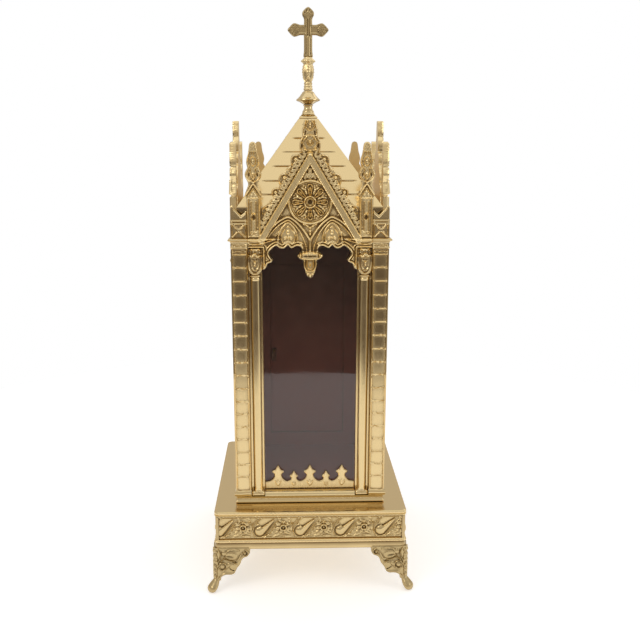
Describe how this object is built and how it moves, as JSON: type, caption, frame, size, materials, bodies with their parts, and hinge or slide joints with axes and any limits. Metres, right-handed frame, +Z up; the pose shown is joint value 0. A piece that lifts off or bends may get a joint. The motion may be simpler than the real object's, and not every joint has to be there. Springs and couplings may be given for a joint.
{
  "type": "tower reliquary",
  "caption": "Gothic square tower reliquary in brass with a glazed front, gabled sides, pyramid roof, cross, footed plinth and a hinged rear access door with a turn latch.",
  "frame": {"origin": "on the table, under the centre of the plinth, level with the soles of the feet", "axes": "+Z up the tower to the cross, the glazed front faces -Y and the hinged door faces +Y, +X to the right seen from the front"},
  "size_m": [0.1636, 0.1636, 0.4456],
  "materials": {
    "polished_brass": "polished sheet, light brushing and lacquer",
    "cast_brass": "cast relief, high points polished, recesses toned dark",
    "steel": "plain turned fasteners",
    "velvet": "dark wine-brown velvet",
    "glass": "clear polished pane"
  },
  "bodies": {
    "tower": {"apex_cap": "polished_brass", "baluster": "cast_brass", "base_cover": "polished_brass", "ceiling_plate": "polished_brass", "collar": "polished_brass", "column_back_left": "polished_brass", "column_back_right": "polished_brass", "column_front_left": "polished_brass", "column_front_right": "polished_brass", "column_left_left": "polished_brass", "column_left_right": "polished_brass", "column_right_left": "polished_brass", "column_right_right": "polished_brass", "cresting_front": "cast_brass", "cresting_left": "cast_brass", "cresting_right": "cast_brass", "cross": "cast_brass", "finial_nut": "steel", "finial_stud": "steel", "foot_back_left": "cast_brass", "foot_back_right": "cast_brass", "foot_front_left": "cast_brass", "foot_front_right": "cast_brass", "foot_screw_back_left": "steel", "foot_screw_back_right": "steel", "foot_screw_front_left": "steel", "foot_screw_front_right": "steel", "frieze_back": "cast_brass", "frieze_front": "cast_brass", "frieze_left": "cast_brass", "frieze_right": "cast_brass", "front_glass": "glass", "gable_back": "cast_brass", "gable_front": "cast_brass", "gable_left": "cast_brass", "gable_right": "cast_brass", "hinge_bracket": "polished_brass", "hinge_pin": "steel", "hinge_pintle": "polished_brass", "plinth_frame": "polished_brass", "plinth_top_plate": "polished_brass", "post_back_left": "polished_brass", "post_back_right": "polished_brass", "post_front_left": "polished_brass", "post_front_right": "polished_brass", "rear_panel": "polished_brass", "roof_back": "polished_brass", "roof_front": "polished_brass", "roof_left": "polished_brass", "roof_right": "polished_brass", "side_panel_left": "polished_brass", "side_panel_right": "polished_brass", "tower_base": "polished_brass", "tower_bolt": "steel", "velvet_floor": "velvet", "velvet_walls": "velvet"},
    "door": {"door_panel": "polished_brass", "door_lining": "velvet"},
    "latch": {"door_knob": "polished_brass", "latch_tongue": "polished_brass"}
  },
  "joints": [
    {"name": "door_hinge", "type": "hinge", "parent": "tower", "child": "door", "pos_m": [0.0344, 0.0517, 0.1635], "axis": [0, 0, -1], "range_deg": [0, 110]},
    {"name": "latch_turn", "type": "hinge", "parent": "door", "child": "latch", "pos_m": [-0.0295, 0.05, 0.1635], "axis": [0, 1, 0], "range_deg": [0, 90]}
  ]
}
